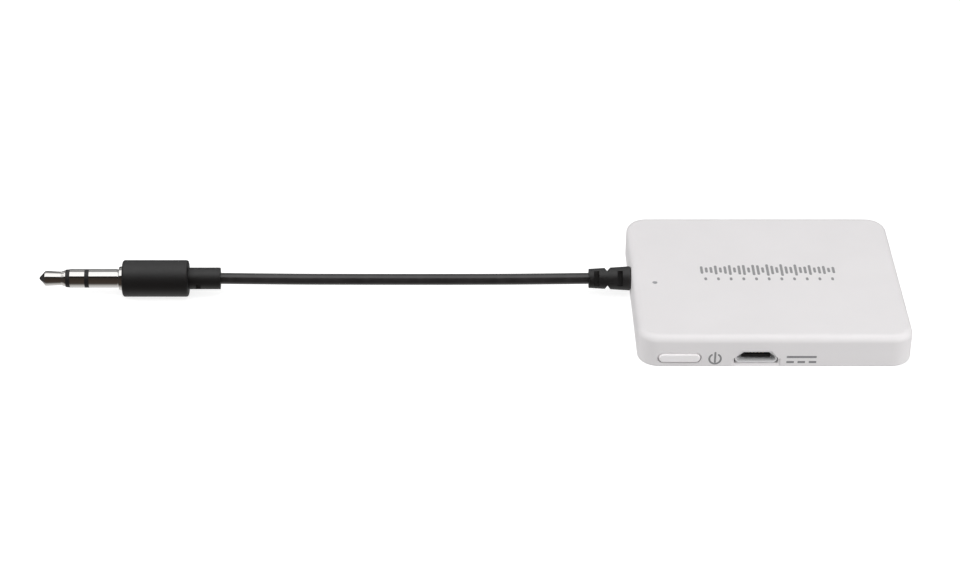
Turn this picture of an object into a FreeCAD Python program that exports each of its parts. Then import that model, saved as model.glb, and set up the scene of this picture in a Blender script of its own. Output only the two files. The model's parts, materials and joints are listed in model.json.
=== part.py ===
"""Bluetooth audio receiver: a slim white box with a short audio lead that ends in a 3.5 mm stereo plug.

Frame: millimetres, +Z up. The origin is under the middle of the box, on the surface it stands on.
The front, with the power button and the charging socket, faces -Y. The audio lead leaves towards -X.
"""
import FreeCAD, Part
import math
import os
import re
import Sketcher
from FreeCAD import Placement, Rotation, Vector

SIZES = (
    # casing
    ("body_width", 49.8, "box, left to right"),
    ("body_depth", 42.2, "box, front to back"),
    ("body_height", 6.4, "box, bottom to top"),
    ("corner_radius", 3.85, "upright corners of the box"),
    ("top_fillet", 1.3, "edge round the top face"),
    ("bottom_fillet", 0.35, "edge round the underside"),
    ("side_wall", 1.6, "thickness of the upright walls"),
    ("top_wall", 1.0, "thickness of the top"),
    ("cover_inset", 1.15, "outside of the box to the recess of the cover"),
    ("cover_gap", 0.08, "gap round the cover"),
    ("cover_thick", 0.8, "plate of the lower cover"),
    # snap hooks between cover and housing
    ("hook_width", 4.0, "snap hook, along the wall"),
    ("hook_thick", 0.8, "snap hook, across the wall"),
    ("hook_top", 2.8, "height of the top of a snap hook"),
    ("barb_low", 2.0, "height of the underside of a barb"),
    ("barb_high", 2.6, "height of the top of a barb"),
    ("barb_reach", 0.35, "how far a barb goes into the wall"),
    ("hook_gap", 0.1, "gap between a hook and the wall"),
    # power button
    ("button_x", -17.5, "middle of the button"),
    ("button_z", 1.95, "middle of the button"),
    ("button_width", 7.4, "cap"),
    ("button_height", 1.7, "cap"),
    ("button_proud", 0.3, "how far the cap stands out of the front"),
    ("cap_edge", 0.25, "rounded edge of the cap"),
    ("window_gap", 0.27, "groove round the cap in its window"),
    ("skirt_gap", 0.1, "clearance of the wider skirt behind the cap"),
    ("skirt_front", 0.25, "front of the box to the front of the skirt"),
    ("flange_left", 4.3, "flange behind the window, left of the middle"),
    ("flange_right", 4.7, "flange behind the window, right of the middle"),
    ("flange_thick", 0.6, "flange behind the window, front to back"),
    ("rib_width", 2.4, "rib between the flange and the switch"),
    ("switch_front", -18.32, "back of the button's rib"),
    ("switch_z", 2.4, "axis of the switch"),
    # circuit board
    ("board_width", 46.0, "left to right"),
    ("board_front", -19.2, "front edge"),
    ("board_back", -1.3, "back edge"),
    ("board_low", 3.25, "underside"),
    ("board_thick", 0.8, "glass fibre board"),
    ("board_corner", 1.9, "front corners of the board"),
    ("rib_side", 1.2, "square ribs that hold the board down"),
    ("post_radius", 0.9, "posts that the board rests on"),
    ("pin_radius", 0.55, "locating pins"),
    ("pin_proud", 0.35, "how far a pin stands above the board"),
    ("pin_x", 21.2, "locating pins, each side of the middle"),
    ("pin_y", -8.5, "locating pins"),
    # charging socket
    ("port_x", -3.6, "middle of the micro-USB socket"),
    ("port_mouth", -20.75, "front edge of the metal shell"),
    ("port_back", -15.2, "back edge of the metal shell"),
    ("port_low", 0.8, "underside of the metal shell"),
    ("port_sheet", 0.28, "sheet metal of the shell"),
    ("step_width", 8.9, "sloping step below the socket, left to right"),
    ("step_depth", 0.45, "how deep the step is at its top"),
    ("step_top", 1.75, "top of the step"),
    ("tongue_front", 0.55, "shell's mouth to the front of the tongue"),
    ("tongue_low", 0.78, "underside of the tongue over that of the shell"),
    ("tongue_thick", 0.6, "plastic tongue with the contacts"),
    ("contact_front", 0.9, "shell's mouth to the front of the contacts"),
    ("contact_pitch", 0.65, "contact to contact"),
    ("contact_width", 0.35, "width of a contact"),
    ("contact_proud", 0.04, "how far a contact stands above the tongue"),
    # status light
    ("light_x", -20.85, "status light"),
    ("light_y", -2.6, "status light"),
    ("light_radius", 0.45, "what shows of the light pipe"),
    # lead and strain relief
    ("lead_y", 3.5, "axis of the lead"),
    ("lead_z", 3.45, "axis of the lead"),
    ("cable_radius", 1.05, "jacket of the lead"),
    ("relief_length", 7.85, "strain relief outside the box"),
    ("relief_neck", 1.55, "radius of the strain relief inside the wall"),
    ("relief_flange", 1.9, "radius of the flange inside the wall"),
    ("relief_roll", -30.0, "turn of the slot pattern about the lead"),
    ("slot_near", 2.05, "slots of the strain relief nearer the box, out from it"),
    ("slot_far", 6.45, "slots of the strain relief further out"),
    ("slot_width", 1.0, "slots, along the lead"),
    ("slot_height", 2.9, "slots, across the lead"),
    ("slot_floor", 1.25, "floor of the slots and notches, from the axis"),
    ("notch_place", 4.35, "V notches, out from the box"),
    ("notch_width", 1.8, "V notches at their mouth"),
    ("tail_end", -20.8, "where the jacket is stripped inside the box"),
    # plug, lengths measured from the front of its housing
    ("plug_front", -120.35, "front face of the plug housing"),
    ("housing_radius", 3.45, "plug housing"),
    ("housing_length", 12.4, "plug housing"),
    ("neck_radius", 2.05, "neck behind the plug housing"),
    ("neck_length", 5.95, "neck behind the plug housing"),
    ("plug_radius", 1.75, "3.5 mm sleeve and ring"),
    ("shoulder", 0.7, "front of the shoulder"),
    ("groove_radius", 1.55, "groove between the shoulder and the sleeve"),
    ("sleeve_start", 0.92, "back of the sleeve"),
    ("sleeve_end", 6.3, "front of the sleeve"),
    ("ring_start", 7.13, "back of the ring contact"),
    ("ring_end", 9.9, "front of the ring contact"),
    ("tip_start", 10.72, "back of the tip contact"),
    ("tip_end", 15.7, "point of the tip"),
    # battery
    ("cell_left", -13.0, "left end of the cell"),
    ("cell_right", 22.0, "right end of the cell"),
    ("cell_front", 0.7, "front of the cell"),
    ("cell_back", 18.2, "back of the cell"),
    ("cell_low", 1.1, "underside of the cell"),
    ("cell_thick", 3.8, "thickness of the cell"),
)

doc = FreeCAD.newDocument("audio_receiver")
sheet = doc.addObject("Spreadsheet::Sheet", "sizes")
for row, (alias, amount, note) in enumerate(SIZES, 1):
    sheet.set(f"A{row}", alias)
    sheet.set(f"B{row}", str(amount))
    sheet.setAlias(f"B{row}", alias)
    sheet.set(f"C{row}", note)
doc.recompute()

ALIASES = {alias for alias, _, _ in SIZES}
NODES = []
NEAR = 1e-4


# ---- expressions -------------------------------------------------------------------------------------


def linked(text):
    """The expression with every alias written as a cell of the sheet."""
    return re.sub(r"[a-z_]+", lambda word: f"sizes.{word[0]}" if word[0] in ALIASES else word[0], str(text))


def number(text):
    """The value of an expression now, as a plain number."""
    return float(sheet.evalExpression(linked(text)))


def bind(thing, **properties):
    """Binds properties of a document object to expressions."""
    for name, text in properties.items():
        thing.setExpression(name.replace("__", "."), linked(text))


def node(thing, name):
    """Names a sub-part and puts it on the list of what is written."""
    thing.Label = name
    NODES.append(thing)
    return thing


# ---- sketches ----------------------------------------------------------------------------------------


def place_point(sketch, geometry, end, x, y):
    """Holds one point of a sketch at two expressions."""
    for kind, axis, text in (("DistanceX", -2, x), ("DistanceY", -1, y)):
        value = number(text)
        if abs(value) < NEAR:
            sketch.addConstraint(Sketcher.Constraint("PointOnObject", geometry, end, axis))
        else:
            index = sketch.addConstraint(Sketcher.Constraint(kind, -1, 1, geometry, end, value))
            sketch.setExpression(f"Constraints[{index}]", linked(text))


def draw_polygon(sketch, points):
    corners = [Vector(number(x), number(y), 0) for x, y in points]
    first = sketch.GeometryCount
    count = len(corners)
    for i in range(count):
        sketch.addGeometry(Part.LineSegment(corners[i], corners[(i + 1) % count]))
    for i in range(count):
        after = first + (i + 1) % count
        sketch.addConstraint(Sketcher.Constraint("Coincident", first + i, 2, after, 1))
    for i, (x, y) in enumerate(points):
        place_point(sketch, first + i, 1, x, y)


def draw_circle(sketch, x, y, radius):
    circle = Part.Circle(Vector(number(x), number(y), 0), Vector(0, 0, 1), number(radius))
    index = sketch.addGeometry(circle)
    place_point(sketch, index, 3, x, y)
    bound = sketch.addConstraint(Sketcher.Constraint("Radius", index, number(radius)))
    sketch.setExpression(f"Constraints[{bound}]", linked(radius))


def draw_rounded(sketch, x, y, width, height, radius):
    """A rectangle about (x, y) with four equal round corners."""
    half_w = number(width) / 2
    half_h = number(height) / 2
    corner = number(radius)
    middle = Vector(number(x), number(y), 0)
    first = sketch.GeometryCount
    for i, (sx, sy) in enumerate(((1, -1), (1, 1), (-1, 1), (-1, -1))):
        along = half_w if i % 2 == 0 else half_h
        across = half_h if i % 2 == 0 else half_w
        turn = Rotation(Vector(0, 0, 1), 90 * i)
        start = turn.multVec(Vector(-along + corner, -across, 0)) + middle
        stop = turn.multVec(Vector(along - corner, -across, 0)) + middle
        sketch.addGeometry(Part.LineSegment(start, stop))
        centre = Vector(sx * (half_w - corner), sy * (half_h - corner), 0) + middle
        begin = math.radians(90 * i - 90)
        circle = Part.Circle(centre, Vector(0, 0, 1), corner)
        sketch.addGeometry(Part.ArcOfCircle(circle, begin, begin + math.pi / 2))
    for i in range(8):
        sketch.addConstraint(Sketcher.Constraint("Tangent", first + i, 2, first + (i + 1) % 8, 1))
    for i in (0, 4):
        sketch.addConstraint(Sketcher.Constraint("Horizontal", first + i))
    for i in (2, 6):
        sketch.addConstraint(Sketcher.Constraint("Vertical", first + i))
    for i in (3, 5, 7):
        sketch.addConstraint(Sketcher.Constraint("Equal", first + 1, first + i))
    sizes = (
        (Sketcher.Constraint("Radius", first + 1, corner), radius),
        (Sketcher.Constraint("DistanceX", -1, 1, first + 2, 1, middle.x + half_w), f"({x}) + ({width}) / 2"),
        (Sketcher.Constraint("DistanceX", -1, 1, first + 6, 1, middle.x - half_w), f"({x}) - ({width}) / 2"),
        (Sketcher.Constraint("DistanceY", -1, 1, first + 4, 1, middle.y + half_h), f"({y}) + ({height}) / 2"),
        (Sketcher.Constraint("DistanceY", -1, 1, first, 1, middle.y - half_h), f"({y}) - ({height}) / 2"),
    )
    for constraint, text in sizes:
        index = sketch.addConstraint(constraint)
        sketch.setExpression(f"Constraints[{index}]", linked(text))


def rectangle(left, right, low, high):
    """The four corners between two pairs of expressions."""
    return ("polygon", [(left, low), (right, low), (right, high), (left, high)])


def draw(sketch, outlines):
    tools = {"polygon": draw_polygon, "circle": draw_circle, "rounded": draw_rounded}
    for kind, *values in outlines:
        tools[kind](sketch, *values)


# ---- features of a body ------------------------------------------------------------------------------

PLANES = {"X": "YZ_Plane", "Y": "XZ_Plane", "Z": "XY_Plane"}


def new_body(name, x="0", y="0", z="0"):
    body = node(doc.addObject("PartDesign::Body", name), name)
    bind(body, Placement__Base__x=x, Placement__Base__y=y, Placement__Base__z=z)
    doc.recompute()
    return body


def new_sketch(body, name, axis, start, outlines):
    """A sketch on the body's own plane across an axis, at a place along that axis."""
    sketch = body.newObject("Sketcher::SketchObject", name)
    plane = next(f for f in body.Origin.OriginFeatures if f.Role == PLANES[axis])
    sketch.AttachmentSupport = (plane, [""])
    sketch.MapMode = "FlatFace"
    # the plane across Y faces -Y, so a place along +Y is behind it
    bind(sketch, AttachmentOffset__Base__z=f"-({start})" if axis == "Y" else start)
    draw(sketch, outlines)
    return sketch


def extrude(body, name, axis, start, stop, *outlines, cut=False):
    """Adds or cuts outlines between two places along an axis of the body."""
    doc.recompute()
    before = body.Shape.Volume if body.Tip else 0.0
    sketch = new_sketch(body, f"{name}_sketch", axis, start, outlines)
    feature = body.newObject("PartDesign::Pocket" if cut else "PartDesign::Pad", name)
    feature.Profile = (sketch, [""])
    feature.Type = "Length"
    feature.Reversed = cut != (axis == "Y")
    bind(feature, Length=f"({stop}) - ({start})")
    doc.recompute()
    change = body.Shape.Volume - before
    if (change > -NEAR) if cut else (change < NEAR):
        raise RuntimeError(f"{body.Label}.{name} changes the volume by {change:.4f} mm3")
    return feature


def cut_away(body, name, axis, start, stop, *outlines):
    return extrude(body, name, axis, start, stop, *outlines, cut=True)


def turned(body, name, points):
    """Revolves an outline of (place along X, radius) points about the body's X axis."""
    sketch = new_sketch(body, f"{name}_sketch", "Y", "0", [("polygon", points)])
    feature = body.newObject("PartDesign::Revolution", name)
    feature.Profile = (sketch, [""])
    feature.ReferenceAxis = (sketch, ["H_Axis"])
    feature.Angle = 360.0
    doc.recompute()
    return feature


def level(axis, text):
    """A test for edges that lie in one plane across an axis."""
    place = number(text)
    low, high = f"{axis}Min", f"{axis}Max"

    def found(edge):
        box = edge.BoundBox
        return abs(getattr(box, low) - place) < 0.01 and abs(getattr(box, high) - place) < 0.01

    return found


def upright(edge):
    """A test for straight edges along Z."""
    box = edge.BoundBox
    return box.XLength < NEAR and box.YLength < NEAR


def dress(body, kind, name, amount, wanted):
    """Rounds or bevels the edges of the body that pass a test."""
    doc.recompute()
    tip = body.Tip
    edges = [f"Edge{i}" for i, edge in enumerate(tip.Shape.Edges, 1) if wanted(edge)]
    if not edges:
        raise RuntimeError(f"{body.Label}.{name} finds no edge")
    feature = body.newObject(f"PartDesign::{kind}", name)
    feature.Base = (tip, edges)
    bind(feature, **{"Radius" if kind == "Fillet" else "Size": amount})
    doc.recompute()
    return feature


def block(name, x, y, z, width, depth, height):
    """A Part box about (x, y) that stands on z, with every size an expression."""
    box = doc.addObject("Part::Box", name)
    bind(box, Length=width, Width=depth, Height=height)
    bind(box, Placement__Base__x=f"({x}) - ({width}) / 2", Placement__Base__y=f"({y}) - ({depth}) / 2")
    bind(box, Placement__Base__z=z)
    return box


def group(name, pieces):
    """Separate pieces of one kind in one node."""
    compound = doc.addObject("Part::Compound", name)
    compound.Links = pieces
    return node(compound, name)


# ---- casing ------------------------------------------------------------------------------------------

HALF_WIDTH = "body_width / 2"
HALF_DEPTH = "body_depth / 2"
INNER_X = "(body_width / 2 - side_wall)"
INNER_Y = "(body_depth / 2 - side_wall)"

# middle of each snap hook: the wall it stands at, and its place along that wall
HOOKS = (("+Y", "-12"), ("+Y", "12"), ("-Y", "12"), ("+X", "-12"), ("+X", "10"), ("-X", "-12"), ("-X", "13"))


def hook_outline(wall, along, near, far, margin):
    """The plan of a hook between two distances in from the inner wall face."""
    sign = wall[0]
    low = f"({along}) - hook_width / 2 - {margin}"
    high = f"({along}) + hook_width / 2 + {margin}"
    face = INNER_X if wall[1] == "X" else INNER_Y
    inner = f"{sign}({face} - ({far}))"
    outer = f"{sign}({face} - ({near}))"
    ends = (inner, outer) if sign == "+" else (outer, inner)
    if wall[1] == "X":
        return rectangle(*ends, low, high)
    return rectangle(low, high, *ends)


def port_opening():
    """The socket's opening in the front wall: narrow and bevelled at the top, wide below."""
    half = (("3.9", "0.62"), ("4.0", "0.9"), ("4.0", "1.8"), ("2.74", "3.38"))
    right = [(f"port_x + {x}", z) for x, z in half]
    left = [(f"port_x - {x}", z) for x, z in reversed(half)]
    return ("polygon", right + left)


def make_upper_housing():
    body = new_body("upper_housing")
    slab = ("rounded", "0", "0", "body_width", "body_depth", "corner_radius")
    extrude(body, "outside", "Z", "0", "body_height", slab)
    dress(body, "Fillet", "top_edge", "top_fillet", level("Z", "body_height"))
    dress(body, "Fillet", "bottom_edge", "bottom_fillet", level("Z", "0"))
    for name, inset, top in (
        ("cover_recess", "cover_inset", "cover_thick"),
        ("inside", "side_wall", "body_height - top_wall"),
    ):
        hollow = (
            "rounded",
            "0",
            "0",
            f"body_width - 2 * {inset}",
            f"body_depth - 2 * {inset}",
            f"corner_radius - {inset}",
        )
        cut_away(body, name, "Z", "0", top, hollow)
    through = f"-{HALF_DEPTH} + side_wall + 0.5"
    window = (
        "rounded",
        "button_x",
        "button_z",
        "button_width + 2 * window_gap",
        "button_height + 2 * window_gap",
        "button_height / 2 + window_gap - 0.02",
    )
    cut_away(body, "button_window", "Y", f"-{HALF_DEPTH} - 1", through, window)
    cut_away(body, "port_opening", "Y", f"-{HALF_DEPTH} - 1", through, port_opening())
    # a sloping step for the boot of the charging plug, which runs out through the bottom edge
    slope = [
        (f"-{HALF_DEPTH} - 1", "-0.2"),
        (f"-{HALF_DEPTH}", "-0.2"),
        (f"-{HALF_DEPTH} + step_depth", "step_top"),
        (f"-{HALF_DEPTH} - 1", "step_top"),
    ]
    sides = ("port_x - step_width / 2", "port_x + step_width / 2")
    cut_away(body, "port_step", "X", *sides, ("polygon", slope))
    inner_side = f"-{HALF_WIDTH} + side_wall + 0.2"
    slot = rectangle("lead_y - relief_neck - 0.05", "lead_y + relief_neck + 0.05", "-1", "lead_z")
    cut_away(body, "lead_slot", "X", f"-{HALF_WIDTH} - 1", inner_side, slot)
    round_end = ("circle", "lead_y", "lead_z", "relief_neck + 0.05")
    cut_away(body, "lead_slot_top", "X", f"-{HALF_WIDTH} - 1", inner_side, round_end)
    light = ("circle", "light_x", "light_y", "light_radius + 0.02")
    cut_away(body, "light_hole", "Z", "body_height - top_wall - 0.5", "body_height + 1", light)
    pockets = [hook_outline(wall, along, "-barb_reach - 0.1", "0.1", "0.2") for wall, along in HOOKS]
    cut_away(body, "hook_pockets", "Z", "barb_low - 0.05", "barb_high + 0.1", *pockets)
    ceiling = "body_height - top_wall + 0.2"
    half = "rib_side / 2"
    ribs = [
        rectangle(f"{x} - {half}", f"{x} + {half}", f"{y} - {half}", f"{y} + {half}")
        for x, y in (("-22.2", "-12"), ("22.2", "-12"), ("-9", "-2.1"), ("14", "-2.1"))
    ]
    extrude(body, "board_ribs", "Z", "board_low + board_thick + 0.05", ceiling, *ribs)
    fences = [
        rectangle("cell_left - 5.6", "cell_left - 4.8", "10", "18"),
        rectangle("-2", "18", "cell_front - 1.2", "cell_front - 0.5"),
    ]
    extrude(body, "cell_fences", "Z", "cell_low + cell_thick - 1.2", ceiling, *fences)
    return body


def make_lower_cover():
    body = new_body("lower_cover")
    inset = "2 * (cover_inset + cover_gap)"
    plate = (
        "rounded",
        "0",
        "0",
        f"body_width - {inset}",
        f"body_depth - {inset}",
        "corner_radius - cover_inset - cover_gap",
    )
    extrude(body, "plate", "Z", "0", "cover_thick", plate)
    # the tab that closes the lead slot under the strain relief
    narrow = "relief_neck - 0.02"
    tab = rectangle(f"-{HALF_WIDTH}", f"-{HALF_WIDTH} + side_wall + 0.6", "0", "lead_z")
    extrude(body, "lead_tab", "Y", f"lead_y - {narrow}", f"lead_y + {narrow}", tab)
    outer_edge = level("X", f"-{HALF_WIDTH}")
    ground = level("Z", "0")
    dress(body, "Fillet", "tab_edge", "bottom_fillet", lambda edge: outer_edge(edge) and ground(edge))
    saddle = ("circle", "lead_y", "lead_z", "relief_neck + 0.02")
    cut_away(body, "lead_saddle", "X", f"-{HALF_WIDTH} - 1", f"-{HALF_WIDTH} + side_wall", saddle)
    seat = ("circle", "lead_y", "lead_z", "relief_flange + 0.03")
    inner_side = f"-{HALF_WIDTH} + side_wall"
    cut_away(body, "flange_seat", "X", inner_side, f"{inner_side} + 0.6", seat)
    # a shallow pocket under the socket's shell
    pocket = rectangle("port_x - 4.2", "port_x + 4.2", f"-{HALF_DEPTH}", "port_back + 0.5")
    cut_away(body, "port_pocket", "Z", "0.5", "cover_thick + 1", pocket)
    hooks = [hook_outline(wall, along, "hook_gap", "hook_gap + hook_thick", "0") for wall, along in HOOKS]
    extrude(body, "hooks", "Z", "cover_thick - 0.2", "hook_top", *hooks)
    barbs = [hook_outline(wall, along, "-barb_reach", "hook_gap + 0.2", "0") for wall, along in HOOKS]
    extrude(body, "barbs", "Z", "barb_low", "barb_high", *barbs)
    posts = [
        ("circle", x, y, "post_radius")
        for x, y in (("pin_x", "pin_y"), ("-pin_x", "pin_y"), ("21.5", "-17.2"), ("-9.5", "-2.6"), ("14", "-2.6"))
    ]
    extrude(body, "posts", "Z", "cover_thick - 0.2", "board_low", *posts)
    pins = [("circle", f"{side}pin_x", "pin_y", "pin_radius") for side in ("", "-")]
    extrude(body, "pins", "Z", "board_low - 0.2", "board_low + board_thick + pin_proud", *pins)
    fences = [
        rectangle("-8", "20", "cell_front - 1.1", "cell_front - 0.3"),
        rectangle("cell_left - 4.4", "cell_left - 3.6", "9", "17"),
    ]
    extrude(body, "cell_fences", "Z", "cover_thick - 0.2", "cell_low + 1.2", *fences)
    return body


def make_power_button():
    body = new_body("power_button")
    cap = ("rounded", "button_x", "button_z", "button_width", "button_height", "button_height / 2 - 0.02")
    flange_front = f"-{HALF_DEPTH} + side_wall + 0.05"
    skirt_front = f"-{HALF_DEPTH} + skirt_front"
    extrude(body, "cap", "Y", f"-{HALF_DEPTH} - button_proud", f"{skirt_front} + 0.1", cap)
    dress(body, "Fillet", "cap_rim", "cap_edge", level("Y", f"-{HALF_DEPTH} - button_proud"))
    wider = "2 * (window_gap - skirt_gap)"
    skirt = (
        "rounded",
        "button_x",
        "button_z",
        f"button_width + {wider}",
        f"button_height + {wider}",
        "button_height / 2 + window_gap - skirt_gap - 0.02",
    )
    extrude(body, "skirt", "Y", skirt_front, f"{flange_front} + 0.1", skirt)
    sides = ("button_x - flange_left", "button_x + flange_right")
    flange = rectangle(*sides, "cover_thick + cover_gap", "board_low - 0.1")
    extrude(body, "flange", "Y", flange_front, f"{flange_front} + flange_thick", flange)
    # clear of the round inner corner of the housing
    left = level("X", "button_x - flange_left")
    front = level("Y", flange_front)
    dress(body, "Chamfer", "flange_corner", "0.4", lambda edge: upright(edge) and left(edge) and front(edge))
    rib = rectangle("button_x - rib_width / 2", "button_x + rib_width / 2", "1.6", "3.0")
    extrude(body, "rib", "Y", f"{flange_front} + flange_thick - 0.1", "switch_front", rib)
    return body


def make_light_pipe():
    body = new_body("led_light_pipe")
    flange = ("circle", "light_x", "light_y", "light_radius + 0.4")
    rod = ("circle", "light_x", "light_y", "light_radius")
    low = "board_low + board_thick + 0.7"
    extrude(body, "flange", "Z", low, "body_height - top_wall - 0.02", flange)
    extrude(body, "rod", "Z", "body_height - top_wall - 0.1", "body_height - 0.03", rod)
    return body


# ---- lead --------------------------------------------------------------------------------------------

RELIEF_END = f"-{HALF_WIDTH} - relief_length"
PLUG_NECK_END = "plug_front + housing_length + neck_length"

# the free lead, between the strain relief and the neck of the plug: a stiff lead with a slight sag
LEAD_ROUTE = (
    (-32.75, 3.5, 3.45),
    (-44.1, 3.5, 3.45),
    (-58.2, 3.53, 3.16),
    (-75.2, 3.57, 3.12),
    (-90.2, 3.5, 3.45),
    (-102.0, 3.5, 3.45),
)


def arc_path(points, label=None):
    """A wire of straight runs with a tangent arc at each inner point."""
    places = [Vector(*point) for point in points]
    edges = []
    last = places[0]
    radii = []
    for before, corner, after in zip(places, places[1:], places[2:]):
        into = (corner - before).normalize()
        out = (after - corner).normalize()
        shorter = min((corner - before).Length, (after - corner).Length)
        setback = 0.45 * shorter
        half_turn = into.getAngle(out) / 2
        radii.append(setback / math.tan(half_turn))
        start = corner - into * setback
        stop = corner + out * setback
        inward = (out - into).normalize()
        middle = corner + inward * (radii[-1] / math.cos(half_turn) - radii[-1])
        edges.append(Part.LineSegment(last, start).toShape())
        edges.append(Part.Arc(start, middle, stop).toShape())
        last = stop
    edges.append(Part.LineSegment(last, places[-1]).toShape())
    if label:
        print(label, "arc radii", [round(radius, 1) for radius in radii])
    return Part.Wire(edges)


def tube(name, points, radius, label=None):
    """A round cord or wire along a route, as a solid of its own."""
    path = arc_path(points, label)
    start = Vector(*points[0])
    ahead = (Vector(*points[1]) - start).normalize()
    ring = Part.Wire([Part.Edge(Part.Circle(start, ahead, radius))])
    solid = path.makePipeShell([ring], True, True)
    expected = math.pi * radius**2 * path.Length
    if abs(solid.Volume / expected - 1) > 0.01:
        raise RuntimeError(f"{name} holds {solid.Volume:.3f} mm3, not {expected:.3f}")
    feature = doc.addObject("Part::Feature", name)
    feature.Shape = solid
    feature.Placement = Placement()
    return node(feature, name)


def rod(name, left, right, radius):
    """A straight round length on the axis of the lead."""
    body = new_body(name, y="lead_y", z="lead_z")
    extrude(body, "rod", "X", left, right, ("circle", "0", "0", radius))
    return body


def make_strain_relief():
    body = new_body("strain_relief", x=f"-{HALF_WIDTH}", y="lead_y", z="lead_z")
    body.Placement.Rotation = Rotation(Vector(1, 0, 0), number("relief_roll"))
    outline = [
        ("-relief_length", "cable_radius + 0.01"),
        ("side_wall + 0.95", "cable_radius + 0.01"),
        ("side_wall + 0.95", "relief_flange"),
        ("side_wall + 0.05", "relief_flange"),
        ("side_wall + 0.05", "relief_neck"),
        ("-0.02", "relief_neck"),
        ("-0.02", "2.08"),
        ("-0.22", "2.28"),
        ("-relief_length", "1.8"),
    ]
    turned(body, "moulding", outline)
    # oblong slots on the two sides, one in each segment
    slots = [
        rectangle(f"-({x}) - slot_width / 2", f"-({x}) + slot_width / 2", "-slot_height / 2", "slot_height / 2")
        for x in ("slot_near", "slot_far")
    ]
    cut_away(body, "front_slots", "Y", "-3", "-slot_floor", *slots)
    cut_away(body, "back_slots", "Y", "slot_floor", "3", *slots)
    # V notches above and below, between the segments
    for name, sign in (("upper_notch", ""), ("lower_notch", "-")):
        corners = [
            ("-notch_place - notch_width / 2", f"{sign}2.5"),
            ("-notch_place + notch_width / 2", f"{sign}2.5"),
            ("-notch_place", f"{sign}slot_floor"),
        ]
        notch = ("polygon", corners)
        cut_away(body, name, "Y", "-3", "3", notch)
    return body


def make_lead():
    rod("cable_inner_tail", RELIEF_END, "tail_end", "cable_radius")
    tube("audio_cable", LEAD_ROUTE, number("cable_radius"), "audio_cable")
    rod("cable_plug_tail", "plug_front + 8.2", PLUG_NECK_END, "cable_radius")


# ---- plug --------------------------------------------------------------------------------------------


def plug_body(name):
    return new_body(name, x="plug_front", y="lead_y", z="lead_z")


def plug_part(name, points):
    """A turned piece of the plug, from (distance in front of the housing, radius) points."""
    body = plug_body(name)
    turned(body, "turning", [(f"-({ahead})", radius) for ahead, radius in points])
    return body


def make_plug():
    # each contact has a rod or tube that runs back through the sleeve, with an insulator round it
    plug_part(
        "plug_tip",
        [
            ("-5.2", "0"),
            ("-5.2", "0.45"),
            ("tip_start", "0.45"),
            ("tip_start", "1.5"),
            ("tip_start + 0.25", "1.5"),
            ("tip_start + 0.85", "1.28"),
            ("tip_end - 1.3", "1.42"),
            ("tip_end - 1.1", "1.38"),
            ("tip_end - 0.12", "0.32"),
            ("tip_end", "0.14"),
            ("tip_end", "0"),
        ],
    )
    plug_part(
        "plug_tip_insulator",
        [
            ("-4.2", "0.46"),
            ("-4.2", "0.78"),
            ("ring_end", "0.78"),
            ("ring_end", "plug_radius - 0.02"),
            ("tip_start", "1.66"),
            ("tip_start", "0.46"),
        ],
    )
    plug_part(
        "plug_ring",
        [
            ("-3.4", "0.79"),
            ("-3.4", "1.08"),
            ("ring_start", "1.08"),
            ("ring_start", "plug_radius"),
            ("ring_end", "plug_radius"),
            ("ring_end", "0.79"),
        ],
    )
    plug_part(
        "plug_ring_insulator",
        [
            ("-2.6", "1.09"),
            ("-2.6", "1.38"),
            ("sleeve_end", "1.38"),
            ("sleeve_end", "plug_radius"),
            ("ring_start", "plug_radius"),
            ("ring_start", "1.09"),
        ],
    )
    plug_part(
        "plug_sleeve",
        [
            ("-2.0", "1.39"),
            ("-2.0", "2.55"),
            ("0", "2.55"),
            ("0", "2.3"),
            ("shoulder - 0.1", "2.2"),
            ("shoulder", "2.1"),
            ("shoulder", "groove_radius"),
            ("sleeve_start", "groove_radius"),
            ("sleeve_start", "plug_radius"),
            ("sleeve_end", "plug_radius"),
            ("sleeve_end", "1.39"),
        ],
    )
    make_terminals()
    plug_part(
        "plug_inner_mould",
        [("-9", "1.9"), ("-9", "2.58"), ("-2.55", "2.58"), ("-2.55", "1.9")],
    )
    make_plug_housing()


def terminal(name, back, front, bore, outside, tail, low, high):
    """A solder ring on the plug's stem, with a tail that runs back to a core wire."""
    body = plug_body(name)
    extrude(body, "washer", "X", back, front, ("circle", "0", "0", outside))
    extrude(body, "tail", "X", back, tail, rectangle("-0.5", "0.5", low, high))
    cut_away(body, "bore", "X", f"{back} - 1", f"{tail} + 1", ("circle", "0", "0", bore))
    return body


def make_terminals():
    terminal("tip_terminal", "4.6", "5.0", "0.46", "1.0", "7.0", "0.5", "0.75")
    terminal("ring_terminal", "2.9", "3.3", "1.09", "1.5", "7.0", "-1.5", "-1.25")
    ground = terminal("ground_terminal", "2.05", "2.45", "1.4", "2.3", "8.6", "1.55", "1.8")
    # claws that clamp the jacket of the lead
    clamp = ("circle", "0", "0", "1.8")
    extrude(ground, "clamp", "X", "8.25", "8.95", clamp)
    cut_away(ground, "clamp_bore", "X", "8.2", "9.0", ("circle", "0", "0", "cable_radius + 0.01"))
    cores = [
        block_rod(f"core_{i}", "7.02", "8.2", y, z)
        for i, (y, z) in enumerate((("0", "0.62"), ("0", "-0.75"), ("0.6", "0")))
    ]
    group("plug_core_wires", cores)


def block_rod(name, back, front, y, z):
    """One short core wire between the jacket and a terminal's tail."""
    wire = doc.addObject("Part::Cylinder", name)
    bind(wire, Radius="0.2", Height=f"({front}) - ({back})")
    wire.Placement.Rotation = Rotation(Vector(0, 1, 0), 90)
    bind(wire, Placement__Base__x=f"plug_front + ({back})")
    bind(wire, Placement__Base__y=f"lead_y + ({y})", Placement__Base__z=f"lead_z + ({z})")
    return wire


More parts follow.
